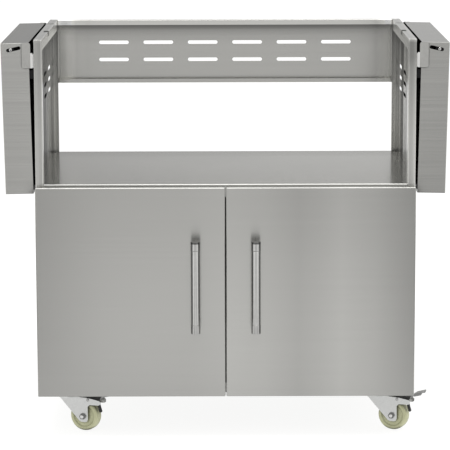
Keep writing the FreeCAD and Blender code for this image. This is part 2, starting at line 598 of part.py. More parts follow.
def shelf(word, side):
    tag = "shelf_%s" % word
    block = box(tag + "_block", (SX0, SX1), (SY0, SY1), (SZ0, SZ1), side)
    outer = SX1.value * side
    shell = rounded(tag + "_bends", block, cell("shelf_bend"),
                    lambda m, d: near(m.x, outer) or runs(d, "X"))
    tools = [
        box(tag + "_hollow", (SX0 + G, SX1 - G), (SY0 + G, SY1 - G), (SZ0 + G, SZ1 - G), side),
        box(tag + "_mouth", (SX0 - 2, SX0 + G + 1), (SY0 + G, SY1 - G), (SZ0 + 13, SZ1 - G), side),
    ]
    tilt = VALUE["guide_tilt"]
    out, inn, half = VALUE["guide_out"], VALUE["guide_in"], cell("guide_half")
    for name, span in (("front", (SY0 - 2, SY0 + G + 2)), ("rear", (SY1 - G - 2, SY1 + 2))):
        lane = box("%s_guide_%s_lane" % (tag, name), (-inn, out) if side > 0 else (-out, inn), span, (-half, half))
        ends = []
        for number, along in enumerate((-inn, out)):
            ends.append(rod("%s_guide_%s_end_%d" % (tag, name, number), "Y", half, span, along * side, 0.0))
        whole = fuse("%s_guide_%s" % (tag, name), [lane] + ends)
        whole.Placement = Placement(Vector(PX.value * side, 0, PZ.value), Rotation(Vector(0, 1, 0), tilt * side))
        tools.append(whole)
    node(lean(cut(tag + "_pan", shell, tools), side), tag + "_pan")

    # Hat-section stiffener under the top sheet.
    mid = (SZ0 + SZ1) / 2 - 20
    rib = cut(tag + "_stiffener", box(tag + "_rib_block", (SX1 - G - 16, SX1 - G), (SY0 + G + 0.5, SY1 - G - 0.5), (mid - 30, mid + 30), side), [
        box(tag + "_rib_hollow", (SX1 - G - 16 + G, SX1), (SY0 - 2, SY1 + 2), (mid - 30 + G, mid + 30 - G), side)])
    node(lean(rib, side), tag + "_stiffener")

    # Brackets: wall flange, joggled web and front plate outside the skirt. Arms: wall flange and cranked arm inside it.
    brackets, arms, pins = [], [], []
    for name, flip in (("front", 1), ("rear", -1)):
        def spot(distance):
            return (SY0 + distance) if flip > 0 else (SY1 - distance)

        def span(a, b):
            return (spot(a), spot(b)) if flip > 0 else (spot(b), spot(a))

        thin = cell("plate_thick")
        plate_out = -1.0 - thin.value
        arm_in = G.value + 1.0
        stem = "%s_bracket_%s" % (tag, name)
        wall = box(stem + "_wall", (W, W + 2), span(plate_out + 11, 42), (PZ - 43.5, PZ - 10.5), side)
        step = box(stem + "_step", (W, W + 4.2), span(plate_out + 11, plate_out + 12.6), (PZ - 43.5, PZ - 10.5), side)
        web = box(stem + "_web", (W + 2.6, W + 4.2), span(plate_out, plate_out + 12.6), (PZ - 43.5, PZ - 10.5), side)
        plate = box(stem + "_plate", (W + 7.3, W + 28), span(plate_out, plate_out + thin.value), (PZ - 43.5, PZ + 17), side)
        plate = rounded(stem + "_plate_round", plate, 5.0, lambda m, d: runs(d, "Y"))
        bridge = box(stem + "_bridge", (W + 2.6, W + 14), span(plate_out, plate_out + thin.value), (PZ - 43.5, PZ - 7.5), side)
        outline = [(W + 0.5, PZ - 69.5), (PX + 8, PZ - 69.5), (PX + 8, PZ + 8), (PX - 8, PZ + 8), (PX - 8, PZ - 49.5), (W + 0.5, PZ - 49.5)]
        if side < 0:
            outline = [(-size(x), z) for x, z in outline]
        start = span(arm_in, arm_in + VALUE["arm_thick"])[0]
        arm = profile(stem + "_arm", "XZ", outline, cell("arm_thick"), start)
        foot = box(stem + "_foot", (W, W + 2), span(arm_in, 42), (PZ - 69.5, PZ - 45), side)
        holes = [rod("%s_screw_hole_%d" % (stem, number), "X", 2.6, (W - 1, W + 4), spot(27), height, side)
                 for number, height in enumerate((PZ - 61.5, PZ - 21.5))]
        bore = rod(stem + "_bore", "Y", cell("shelf_pin_r"), span(arm_in - 1, arm_in + 6), PX, PZ, side)
        brackets.append(cut(stem, fuse(stem + "_whole", [wall, step, web, plate, bridge]), [holes[1]]))
        arms.append(cut(stem + "_crank", fuse(stem + "_crank_whole", [foot, arm]), [bore, holes[0]]))
        proud = span(-1.6, 0)[0 if flip > 0 else 1]
        nose = rod(stem + "_pin_nose_block", "Y", cell("pin_nose_r"), span(-1.6, 1.0), PX, PZ, side)
        nose = rounded(stem + "_pin_nose", nose, 0.9, lambda m, d, proud=proud: near(m.y, proud) and abs(d.y) < 1e-6)
        shank = rod(stem + "_pin_shank", "Y", cell("shelf_pin_r"), span(0.1, arm_in + VALUE["arm_thick"]), PX, PZ, side)
        pin = fuse(stem + "_pin_whole", [
            nose, shank,
            rod(stem + "_pin_head", "Y", 6.5, span(arm_in + VALUE["arm_thick"], arm_in + VALUE["arm_thick"] + 3), PX, PZ, side)])
        pins.append(cut(stem + "_pin", pin, [hexagon(stem + "_pin_socket", "Y", 1.9, span(-3, 2.5), PX, PZ, side)]))
        for number, height in enumerate((PZ - 61.5, PZ - 21.5)):
            bracket_screws.append(fuse("%s_screw_%d" % (stem, number), [
                rod("%s_screw_%d_shank" % (stem, number), "X", 2.5, (W, W + 2), spot(27), height, side),
                rod("%s_screw_%d_head" % (stem, number), "X", 4.5, (W + 2, W + 4.4), spot(27), height, side)]))
    node(group(tag + "_brackets", brackets), tag + "_brackets")
    node(group(tag + "_arms", arms), tag + "_arms")
    node(group(tag + "_pivot_pins", pins), tag + "_pivot_pins")


bracket_screws = []
for word, side in SIDES:
    shelf(word, side)
node(group("shelf_bracket_screws", bracket_screws), "shelf_bracket_screws")
pads = []
for word, side in SIDES:
    for name, at in (("front", F + 60), ("rear", REAR - 60)):
        pads.append(rod("pad_%s_%s" % (word, name), "X", 4.5, (W, W + 4.1), at, SZ0 + 6, side))
node(group("shelf_pads", pads), "shelf_pads")

# ---------------------------------------------------------------- casters

T = cell("trail")
WR = cell("wheel_r")
FT = cell("fork_top_z")
FI = cell("fork_in")
FK = cell("fork_thick")
RX, RZ = cell("rivet_x"), cell("rivet_z")

plates, bolts = [], []
for name, side, depth in CASTERS:
    tag = "caster_%s" % name
    cx, cy = cell("caster_x"), F + cell(depth)
    body = fuse(tag + "_plate_whole", [
        box(tag + "_plate_block", (cx - 36, cx + 36), (cy - 36, cy + 36), (BASE - 3, BASE), side),
        rod(tag + "_race_wide", "Z", 25.0, (FT + 9, BASE - 3), cx, cy, side),
        rod(tag + "_race", "Z", 21.0, (FT + 0.5, BASE - 3), cx, cy, side),
        rod(tag + "_king", "Z", cell("king_r"), (FT - 8, BASE - 3), cx, cy, side),
        rod(tag + "_king_head", "Z", 8.0, (FT - 8, FT - 3.5), cx, cy, side)])
    tools = []
    for number, (dx, dy) in enumerate(((-27, -27), (27, -27), (27, 27), (-27, 27))):
        bx, by = cx + dx * side, cy + dy
        tools.append(rod("%s_plate_hole_%d" % (tag, number), "Z", 3.2, (BASE - 6, BASE + 2), bx, by, side))
        bolts.append(fuse("%s_bolt_%d" % (tag, number), [
            hexagon("%s_bolt_%d_head" % (tag, number), "Z", 5.5, (BASE - 6.6, BASE - 3), bx, by, side),
            rod("%s_bolt_%d_shank" % (tag, number), "Z", 3.0, (BASE - 3, BASE + 8), bx, by, side),
            hexagon("%s_bolt_%d_nut" % (tag, number), "Z", 5.5, (BASE + G, BASE + G + 5), bx, by, side)]))
    plates.append(cut(tag + "_plate", body, tools))
node(group("caster_plates", plates), "caster_plates")
node(group("caster_bolts", bolts), "caster_bolts")


def set_down(thing, side, depth):
    """Put a caster piece built about the swivel axis in its corner."""
    spot = Vector(VALUE["caster_x"] * side, VALUE["front_y"] + VALUE[depth], 0)
    doc.recompute()
    thing.setExpression("Placement.Base.y", None)
    turn = VALUE[depth.replace("caster", "turn")]
    thing.Placement = Placement(spot, Rotation(Vector(0, 0, 1), -turn)).multiply(thing.Placement)
    return thing


def caster(name, side, depth, brake):
    tag = "caster_%s" % name
    # Fork: round crown, two cranked legs; the braked one reaches on over the wheel.
    foot = [(51, 62), (51.5, 30), (48.5, 24.5), (44, 23), (33, 23), (28, 25), (24, 29.5), (-23.5, 78.5), (-31, 82)]
    if brake:
        outline = [(-31, FT), (26, FT), (57, FT - 1.2), (82, FT - 5), (85, FT - 7.5), (85, 71), (81, 68.5), (56, 67.5)] + foot
    else:
        outline = [(-31, FT), (43, FT), (49, FT - 4)] + foot
    legs = [profile(tag + "_leg_near", "XZ", outline, FK, -FI - FK), profile(tag + "_leg_far", "XZ", outline, FK, FI)]
    pieces = legs + [
        rod(tag + "_crown", "Z", 26.0, (FT - 3, FT), 0.0, 0.0),
        box(tag + "_bridge", (-12, 28), (-FI - 1, FI + 1), (FT - 3, FT))]
    whole = fuse(tag + "_fork_whole", pieces)
    holes = [
        rod(tag + "_fork_king", "Z", cell("king_r") + cell("running"), (FT - 6, FT + 2), 0.0, 0.0),
        rod(tag + "_fork_axle", "Y", 4.1, (-FI - FK - 4, FI + FK + 4), T, WR)]
    if brake:
        holes.append(rod(tag + "_fork_rivet", "Y", cell("rivet_r") + 0.1, (-FI - FK - 4, FI + FK + 4), RX, RZ))
    fork = cut(tag + "_fork", whole, holes)
    node(set_down(fork, side, depth), tag + "_fork")

    # Axle: bolt with hexagon head and dome nut, sleeve inside the wheel.
    dome = rod(tag + "_dome_block", "Y", 4.8, (-FI - FK - 7.6, -FI - FK - 4), T, WR)
    dome = rounded(tag + "_dome", dome, 2.4, lambda m, d: near(m.y, -FI - FK - 7.6) and abs(d.y) < 1e-6)
    axle = fuse(tag + "_axle_bolt", [
        rod(tag + "_sleeve", "Y", cell("axle_r"), (-FI, FI), T, WR),
        rod(tag + "_bolt", "Y", 4.0, (-FI - FK - 2, FI + FK + 2), T, WR),
        hexagon(tag + "_nut", "Y", 7.8, (-FI - FK - 5, -FI - FK), T, WR),
        dome,
        hexagon(tag + "_head", "Y", 7.2, (FI + FK, FI + FK + 4.5), T, WR)])
    metal = [axle]
    if brake:
        heads = []
        for name_end, span, face in (("near", (-FI - FK - 1.8, -FI - FK), -FI - FK - 1.8), ("far", (FI + FK, FI + FK + 1.8), FI + FK + 1.8)):
            head = rod("%s_rivet_%s_block" % (tag, name_end), "Y", cell("rivet_head_r"), span, RX, RZ)
            heads.append(rounded("%s_rivet_%s" % (tag, name_end), head, 1.1,
                                 lambda m, d, face=face: near(m.y, face) and abs(d.y) < 1e-6))
        metal.append(fuse(tag + "_rivet", heads + [rod(tag + "_rivet_shank", "Y", cell("rivet_r"), (-FI - FK - 0.5, FI + FK + 0.5), RX, RZ)]))
    node(set_down(group(tag + "_axle", metal), side, depth), tag + "_axle")

    # Wheel: moulded nylon, crowned tread, dished sides, plain bore.
    h = cell("wheel_half")
    bore = cell("axle_r") + cell("running")
    shape = [(bore, -(h + 0.7)), (11.5, -(h + 0.7)), (12.5, -(h - 2.2)), (26, -(h - 2.8)), (28.5, -(h - 0.6)), (WR - 4, -(h - 0.3)),
             (WR - 1.2, -(h - 2.6)), (WR, -(h - 6.5)), (WR, h - 6.5), (WR - 1.2, h - 2.6), (WR - 4, h - 0.3),
             (28.5, h - 0.6), (26, h - 2.8), (12.5, h - 2.2), (11.5, h + 0.7), (bore, h + 0.7)]
    wheel = turned(tag + "_wheel", shape)
    wheel.Placement = Placement(Vector(T.value, 0, WR.value), Rotation(Vector(1, 0, 0), 90))
    node(set_down(wheel, side, depth), tag + "_wheel")

    if brake:
        lever = profile(tag + "_lever", "XZ", [(46, 83.5), (80, 83.5), (95.8, 97.3), (104, 99.7), (105, 96.7), (97, 94.3),
                                               (81.4, 80.4), (46, 80.4)], 26.0, -13.0)
        tread = profile(tag + "_tread", "XZ", [(93.5, 96.6), (115.5, 103.2), (116.4, 100.3), (94.4, 93.7)], 33.0, -16.5)
        cheek = [(93.5, 96.6), (115.5, 103.2), (116.4, 100.3), (113.5, 95.0), (95.5, 90.0)]
        cheeks = [profile(tag + "_cheek_near", "XZ", cheek, 2.2, -16.5), profile(tag + "_cheek_far", "XZ", cheek, 2.2, 14.3)]
        hub = rod(tag + "_hub", "Y", 5.0, (-13, 13), RX, RZ)
        whole = fuse(tag + "_pedal_whole", [lever, tread, hub] + cheeks)
        pedal = cut(tag + "_pedal", whole, [
            rod(tag + "_pedal_bore", "Y", cell("rivet_r") + cell("running"), (-16, 16), RX, RZ)])
        node(set_down(pedal, side, depth), tag + "_pedal")
        shoe = profile(tag + "_shoe", "XZ", [(73.2, 80.4), (79.2, 80.4), (79.7, 68), (84.9, 51.5), (83.5, 49.2), (80.2, 49.2),
                                             (78.9, 50.5), (74.2, 66)], 6.0, -9.0)
        roof = profile(tag + "_cover_roof", "XZ", [(29, 85.4), (57.5, 85.4), (57.5, 83.5), (79.5, 83.5), (84.5, 87.9), (80.5, 87.0), (29, 87.0)], 29.2, -14.6)
        skirt = [(58, 77.5), (78, 77.5), (84, 83.5), (84, 86.5), (80.5, 86.5), (58, 86.5)]
        cover = fuse(tag + "_cover", [roof, profile(tag + "_skirt_near", "XZ", skirt, 1.5, -14.6), profile(tag + "_skirt_far", "XZ", skirt, 1.5, 13.1)])
        node(set_down(group(tag + "_brake_shoe", [shoe, cover]), side, depth), tag + "_brake_shoe")


for name, side, depth in CASTERS:
    caster(name, side, depth, depth == "caster_front")

# ---------------------------------------------------------------- check and write

doc.recompute()
faults = []
for thing in doc.Objects:
    if "Invalid" in thing.State or "Error" in thing.State:
        faults.append(thing.Name + " " + str(thing.State))
for thing in nodes:
    if thing.Shape.isNull() or not thing.Shape.isValid() or not thing.Shape.Solids:
        faults.append(thing.Label + " has no valid solid")
if faults:
    raise RuntimeError("; ".join(faults[:12]))

os.makedirs("parts", exist_ok=True)
for thing in nodes:
    thing.Shape.exportStep("parts/%s.step" % thing.Label)
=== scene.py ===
import math

import bpy
from mathutils import Matrix, Vector

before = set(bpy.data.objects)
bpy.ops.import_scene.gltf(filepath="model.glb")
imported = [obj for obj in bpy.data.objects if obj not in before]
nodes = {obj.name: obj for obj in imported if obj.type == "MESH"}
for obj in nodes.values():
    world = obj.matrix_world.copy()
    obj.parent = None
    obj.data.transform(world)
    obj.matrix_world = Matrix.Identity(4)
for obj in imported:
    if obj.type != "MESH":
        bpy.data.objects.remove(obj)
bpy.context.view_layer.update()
scene = bpy.context.scene

scene.view_settings.view_transform = "Standard"
scene.view_settings.look = "None"
scene.view_settings.exposure = 0.0
scene.view_settings.gamma = 1.0


# ---------------------------------------------------------------- camera
def aim(location, tilt, yaw, roll, lens):
    """A camera that looks along +Y, tilted down, with a little yaw and roll (degrees)."""
    t, y, r = (math.radians(v) for v in (tilt, yaw, roll))
    ahead = Vector((math.sin(y) * math.cos(t), math.cos(y) * math.cos(t), -math.sin(t)))
    level = Vector((math.cos(y), -math.sin(y), 0.0))
    up = level.cross(ahead)
    right = level * math.cos(r) + up * math.sin(r)
    above = -level * math.sin(r) + up * math.cos(r)
    data = bpy.data.cameras.new("camera")
    data.sensor_width = 36.0
    data.lens = lens
    data.clip_start = 0.05
    data.clip_end = 300.0
    camera = bpy.data.objects.new("camera", data)
    scene.collection.objects.link(camera)
    place = Matrix((right, above, -ahead)).transposed().to_4x4()
    place.translation = Vector(location)
    camera.matrix_world = place
    scene.camera = camera
    return camera


aim((-0.0048, -6.0288, 1.5075), 9.640, 0.034, -0.157, 2431.2 * 36.0 / 450.0)


# ---------------------------------------------------------------- node helpers
def new_material(name):
    material = bpy.data.materials.new(name)
    material.use_nodes = True
    tree = material.node_tree
    tree.nodes.clear()
    out = tree.nodes.new("ShaderNodeOutputMaterial")
    shader = tree.nodes.new("ShaderNodeBsdfPrincipled")
    tree.links.new(shader.outputs[0], out.inputs["Surface"])
    return material, tree, shader


def add(tree, kind, **values):
    node = tree.nodes.new(kind)
    for key, value in values.items():
        setattr(node, key, value)
    return node


def feed(tree, source, target):
    tree.links.new(source, target)


def math_node(tree, operation, a, b=None, c=None, clamp=False):
    node = add(tree, "ShaderNodeMath", operation=operation, use_clamp=clamp)
    for slot, value in zip(node.inputs, (a, b, c)):
        if value is None:
            continue
        if isinstance(value, (int, float)):
            slot.default_value = value
        else:
            feed(tree, value, slot)
    return node.outputs[0]


def vector_node(tree, operation, a, b=None):
    node = add(tree, "ShaderNodeVectorMath", operation=operation)
    for slot, value in zip(node.inputs, (a, b)):
        if value is None:
            continue
        if isinstance(value, (tuple, list, Vector)):
            slot.default_value = value
        else:
            feed(tree, value, slot)
    return node.outputs[0]


def mix_vectors(tree, factor, a, b):
    node = add(tree, "ShaderNodeMix", data_type="VECTOR", factor_mode="UNIFORM")
    feed(tree, factor, node.inputs["Factor"])
    node.inputs[4].default_value = a
    node.inputs[5].default_value = b
    return node.outputs[1]


def ramp(tree, factor, stops, interpolation="LINEAR"):
    node = add(tree, "ShaderNodeValToRGB")
    node.color_ramp.interpolation = interpolation
    stops = list(stops)
    while len(node.color_ramp.elements) < len(stops):
        node.color_ramp.elements.new(0.5)
    for element, (at, colour) in zip(node.color_ramp.elements, stops):
        element.position = at
        element.color = (*colour, 1.0) if len(colour) == 3 else colour
    feed(tree, factor, node.inputs[0])
    return node.outputs[0]


def noise(tree, vector, scale, detail=2.0, rough=0.5, distortion=0.0):
    node = add(tree, "ShaderNodeTexNoise")
    node.inputs["Scale"].default_value = scale
    node.inputs["Detail"].default_value = detail
    node.inputs["Roughness"].default_value = rough
    node.inputs["Distortion"].default_value = distortion
    feed(tree, vector, node.inputs["Vector"])
    return node.outputs["Fac"]


def bump(tree, height, distance, strength=1.0, normal=None):
    node = add(tree, "ShaderNodeBump")
    node.inputs["Strength"].default_value = strength
    node.inputs["Distance"].default_value = distance
    feed(tree, height, node.inputs["Height"])
    if normal is not None:
        feed(tree, normal, node.inputs["Normal"])
    return node.outputs[0]


def between(tree, value, low, high):
    node = add(tree, "ShaderNodeMapRange")
    feed(tree, value, node.inputs["Value"])
    node.inputs["To Min"].default_value = low
    node.inputs["To Max"].default_value = high
    return node.outputs["Result"]


def smooth(tree, value, a, b, low, high):
    node = add(tree, "ShaderNodeMapRange", interpolation_type="SMOOTHSTEP", clamp=True)
    feed(tree, value, node.inputs["Value"])
    for key, number in (("From Min", a), ("From Max", b), ("To Min", low), ("To Max", high)):
        node.inputs[key].default_value = number
    return node.outputs["Result"]


def scaled(tree, colour, factor):
    node = add(tree, "ShaderNodeVectorMath", operation="SCALE")
    feed(tree, colour, node.inputs[0])
    feed(tree, factor, node.inputs["Scale"])
    return node.outputs[0]


def blended(tree, factor, a, b):
    """Colour a where factor is 0, colour b where it is 1."""
    node = add(tree, "ShaderNodeMix", data_type="RGBA")
    feed(tree, factor, node.inputs[0])
    feed(tree, a, node.inputs[6])
    feed(tree, b, node.inputs[7])
    return node.outputs[2]


def shade(colour, k):
    return tuple(min(1.0, c * k) for c in colour)


# ---------------------------------------------------------------- materials
def painted_gap_shade(tree, reach, low, start=0.25, stop=0.95, local=True):
    """Painted shade in folds and gaps, from ambient occlusion: 1 in the open, low in a corner."""
    node = add(tree, "ShaderNodeAmbientOcclusion", samples=12, only_local=local)
    node.inputs["Distance"].default_value = reach
    return smooth(tree, node.outputs["AO"], start, stop, low, 1.0)


def along(tree, value, stops):
    """A number that follows value through (at, number) stops."""
    first, last = stops[0][0], stops[-1][0]
    top = max(number for at, number in stops)
    node = add(tree, "ShaderNodeMapRange", clamp=True)
    feed(tree, value, node.inputs["Value"])
    node.inputs["From Min"].default_value = first
    node.inputs["From Max"].default_value = last
    grey = ramp(tree, node.outputs["Result"], [((at - first) / (last - first), (number / top,) * 3) for at, number in stops])
    return math_node(tree, "MULTIPLY", grey, top)


def brushed(name, base, rough=0.24, aniso=0.8, seed=0.0, top_grain="x", wave=0.0004,
            wave_scale=2.4, streak=0.022, graze=None, fold_shade=None, painted_light_drifts=(), bend_shade=0.0, wall=(), lip=(), stroke=0.0, rear=(), slot_shade=(), outer=1.0, one_side=False):
    """Brushed sheet steel. The grain runs level on upright faces and along top_grain on flat ones.

    graze dims the sheet seen edge-on, fold paints shade into its bent corners and gaps, drifts are
    painted light and shade that changes slowly along an axis (axis, stops), bend paints shade on the
    rounded bends, and wall is painted shade in the edge-on tint of faces that look inward, from front to
    rear. lip is (inner face, lowest point, back of the post, gain, stops below it) of a rail's and post's
    return lips, whose faces keep a painted light tint while the stops paint their shadow below, rear is
    (place, stops) of painted light and shade across the rear post, stroke is the depth of the broad lines
    in the grain, cut is (front, rear, foot, head, dim) of painted shade on the edges of slots in a side wall, outer
    scales the colour of the faces that look outward, and one_side keeps drifts off the rear faces."""
    material, tree, shader = new_material(name)
    where = add(tree, "ShaderNodeTexCoord")
    spot = vector_node(tree, "ADD", where.outputs["Object"], (seed * 0.37, seed * 0.61, seed * 0.23))
    split = add(tree, "ShaderNodeSeparateXYZ")
    feed(tree, where.outputs["Normal"], split.inputs[0])
    flat = math_node(tree, "GREATER_THAN", math_node(tree, "ABSOLUTE", split.outputs["Z"]), 0.7071)

    slow, quick = 3.0, 620.0
    level = (slow, quick, slow) if top_grain == "x" else (quick, slow, slow)
    scale = mix_vectors(tree, flat, (slow, slow, quick), level)
    lines = vector_node(tree, "MULTIPLY", spot, scale)
    fine = noise(tree, lines, 1.0, 3.0, 0.6)
    band = noise(tree, vector_node(tree, "MULTIPLY", lines, (0.5, 0.13, 0.13) if top_grain == "x" else (0.13, 0.5, 0.13)), 1.0, 2.0)
    cloud = noise(tree, spot, 5.0, 3.0, 0.55)

    tone = math_node(tree, "ADD", math_node(tree, "MULTIPLY", fine, 0.55),
                     math_node(tree, "ADD", math_node(tree, "MULTIPLY", band, 0.25),
                               math_node(tree, "MULTIPLY", cloud, 0.2)))
    colour = ramp(tree, tone, [(0.30, shade(base, 1.0 - streak)), (0.5, base), (0.70, shade(base, 1.0 + streak))])
    dims = []
    # Painted shade in the bent corners and gaps.
    if fold_shade is not None:
        dims.append(painted_gap_shade(tree, *fold_shade))
    here = add(tree, "ShaderNodeSeparateXYZ")
    feed(tree, where.outputs["Object"], here.inputs[0])
    shown = math_node(tree, "LESS_THAN", split.outputs["Y"], 0.5) if one_side else None
    # Painted light and shade: slow changes of tone along an axis.
    for axis, stops in painted_light_drifts:
        painted_drift = along(tree, here.outputs[axis], stops)
        if one_side:
            painted_drift = math_node(tree, "MULTIPLY_ADD", shown, math_node(tree, "SUBTRACT", painted_drift, 1.0), 1.0)
        dims.append(painted_drift)
    if stroke:
        across = (260.0, 1.2, 1.2) if top_grain == "y" else (1.2, 260.0, 1.2)
        strokes = noise(tree, vector_node(tree, "MULTIPLY", spot, mix_vectors(tree, flat, (1.2, 1.2, 260.0), across)), 1.0, 3.0, 0.65)
        dims.append(smooth(tree, strokes, 0.30, 0.70, 1.0 - stroke, 1.0 + stroke))
    on_lip = None
    # Painted light on the return lips; their stops below paint the lips' shadow on the wall.
    if lip:
        face, foot, post, gain, below = lip
        inward = math_node(tree, "LESS_THAN", math_node(tree, "ABSOLUTE", here.outputs["X"]), face)
        on_lip = math_node(tree, "MAXIMUM", math_node(tree, "GREATER_THAN", here.outputs["Z"], foot),
                           math_node(tree, "LESS_THAN", here.outputs["Y"], post))
        on_lip = math_node(tree, "MULTIPLY", inward, on_lip)
        on_lip = math_node(tree, "MULTIPLY", on_lip, math_node(tree, "GREATER_THAN", math_node(tree, "ABSOLUTE", split.outputs["X"]), 0.7071))
        dims.append(math_node(tree, "MULTIPLY_ADD", on_lip, gain - 1.0, 1.0))
    # Painted light and shade across the rear post.
    if rear:
        place, stops = rear
        past = math_node(tree, "GREATER_THAN", here.outputs["Y"], place)
        polish = along(tree, math_node(tree, "ABSOLUTE", here.outputs["X"]), stops)
        dims.append(math_node(tree, "MULTIPLY_ADD", past, math_node(tree, "SUBTRACT", polish, 1.0), 1.0))
    # Painted shade on the edges of the slots in the side wall.
    if slot_shade:
        front, back, foot, head, dim = slot_shade
        inside = math_node(tree, "LESS_THAN", math_node(tree, "ABSOLUTE", split.outputs["X"]), 0.5)
        for axis, low, high in (("Y", front, back), ("Z", foot, head)):
            inside = math_node(tree, "MULTIPLY", inside, math_node(tree, "GREATER_THAN", here.outputs[axis], low))
            inside = math_node(tree, "MULTIPLY", inside, math_node(tree, "LESS_THAN", here.outputs[axis], high))
        dims.append(math_node(tree, "MULTIPLY_ADD", inside, dim - 1.0, 1.0))
    if outer != 1.0:
        facing = math_node(tree, "MULTIPLY", split.outputs["X"], math_node(tree, "SIGN", here.outputs["X"]))
        dims.append(math_node(tree, "MULTIPLY_ADD", math_node(tree, "GREATER_THAN", facing, 0.7071), outer - 1.0, 1.0))
    # Painted shade on the rounded bends, which dims their highlight.
    if bend_shade:
        rise = math_node(tree, "ABSOLUTE", split.outputs["Z"])
        hump = math_node(tree, "MULTIPLY", rise, math_node(tree, "SUBTRACT", 1.0, rise))
        dims.append(math_node(tree, "SUBTRACT", 1.0, math_node(tree, "MULTIPLY", hump, 4.0 * bend_shade)))
    for dim in dims:
        colour = scaled(tree, colour, dim)
    feed(tree, colour, shader.inputs["Base Color"])
    # Painted shade: the edge-on tint of the inward faces, dimmed from front to rear, in streaks, in the folds and below
    # the lips.
    if wall:
        inner = math_node(tree, "MULTIPLY", split.outputs["X"], math_node(tree, "SIGN", here.outputs["X"]))
        upright = math_node(tree, "LESS_THAN", inner, -0.7071)
        edge_on = along(tree, here.outputs["Y"], wall)
        bands = noise(tree, vector_node(tree, "MULTIPLY", spot, (2.0, 46.0, 1.2)), 1.0, 2.0)
        edge_on = math_node(tree, "MULTIPLY", edge_on, smooth(tree, bands, 0.36, 0.64, 0.45, 1.35))
        if fold_shade is not None:
            edge_on = math_node(tree, "MULTIPLY", edge_on, dims[0])
        # Painted shadow below the lips, painted light on the lip faces.
        if lip:
            edge_on = math_node(tree, "MULTIPLY", edge_on, along(tree, here.outputs["Z"], below))
            edge_on = math_node(tree, "MAXIMUM", edge_on, on_lip)
        level_on = between(tree, cloud, graze - 0.02, graze + 0.02)
        tint = math_node(tree, "MULTIPLY_ADD", upright, math_node(tree, "SUBTRACT", edge_on, level_on), level_on)
        tone_of = add(tree, "ShaderNodeCombineColor")
        for channel in range(3):
            feed(tree, tint, tone_of.inputs[channel])
        feed(tree, tone_of.outputs[0], shader.inputs["Specular Tint"])
    elif graze is not None:
        shader.inputs["Specular Tint"].default_value = (graze, graze, graze, 1.0)
    patch = math_node(tree, "ADD", math_node(tree, "MULTIPLY", cloud, 0.7),
                      math_node(tree, "MULTIPLY", fine, 0.3))
    feed(tree, between(tree, patch, rough - 0.035, rough + 0.035), shader.inputs["Roughness"])
    shader.inputs["Metallic"].default_value = 1.0
    shader.inputs["Anisotropic"].default_value = aniso

    spread = mix_vectors(tree, flat, (0.0, 0.0, 1.0),
                         (0.0, 1.0, 0.0) if top_grain == "x" else (1.0, 0.0, 0.0))
    turn = add(tree, "ShaderNodeVectorTransform", vector_type="VECTOR",
               convert_from="OBJECT", convert_to="WORLD")
    feed(tree, spread, turn.inputs[0])
    feed(tree, turn.outputs[0], shader.inputs["Tangent"])

    swell = bump(tree, noise(tree, spot, wave_scale, 1.0, 0.4), wave)
    feed(tree, bump(tree, fine, 0.00001, 0.35, swell), shader.inputs["Normal"])
    return material


def satin(name, base, rough=0.2, seed=0.0, grain=(40.0, 40.0, 700.0), streak=0.06, metallic=1.0, dent=0.00001, rise=(), flank_shade=()):
    """Turned, ground or plated metal with fine lines across the part. rise scales its colour by height
    and flank paints shade on the faces by how far they look sideways."""
    material, tree, shader = new_material(name)
    where = add(tree, "ShaderNodeTexCoord")
    spot = vector_node(tree, "ADD", where.outputs["Object"], (seed * 0.41, seed * 0.17, seed * 0.53))
    fine = noise(tree, vector_node(tree, "MULTIPLY", spot, grain), 1.0, 3.0, 0.6)
    cloud = noise(tree, spot, 60.0, 3.0, 0.6)
    tone = math_node(tree, "ADD", math_node(tree, "MULTIPLY", fine, 0.5), math_node(tree, "MULTIPLY", cloud, 0.5))
    colour = ramp(tree, tone, [(0.3, shade(base, 1.0 - streak)), (0.5, base), (0.7, shade(base, 1.0 + streak))])
    if rise:
        split = add(tree, "ShaderNodeSeparateXYZ")
        feed(tree, where.outputs["Object"], split.inputs[0])
        colour = scaled(tree, colour, along(tree, split.outputs["Z"], rise))
    # Painted shade on the faces that look sideways.
    if flank_shade:
        facing = add(tree, "ShaderNodeSeparateXYZ")
        feed(tree, where.outputs["Normal"], facing.inputs[0])
        colour = scaled(tree, colour, along(tree, math_node(tree, "ABSOLUTE", facing.outputs["X"]), flank_shade))
    feed(tree, colour, shader.inputs["Base Color"])
    feed(tree, between(tree, tone, rough - 0.05, rough + 0.05), shader.inputs["Roughness"])
    shader.inputs["Metallic"].default_value = metallic
    feed(tree, bump(tree, fine, dent, 0.4), shader.inputs["Normal"])
    return material


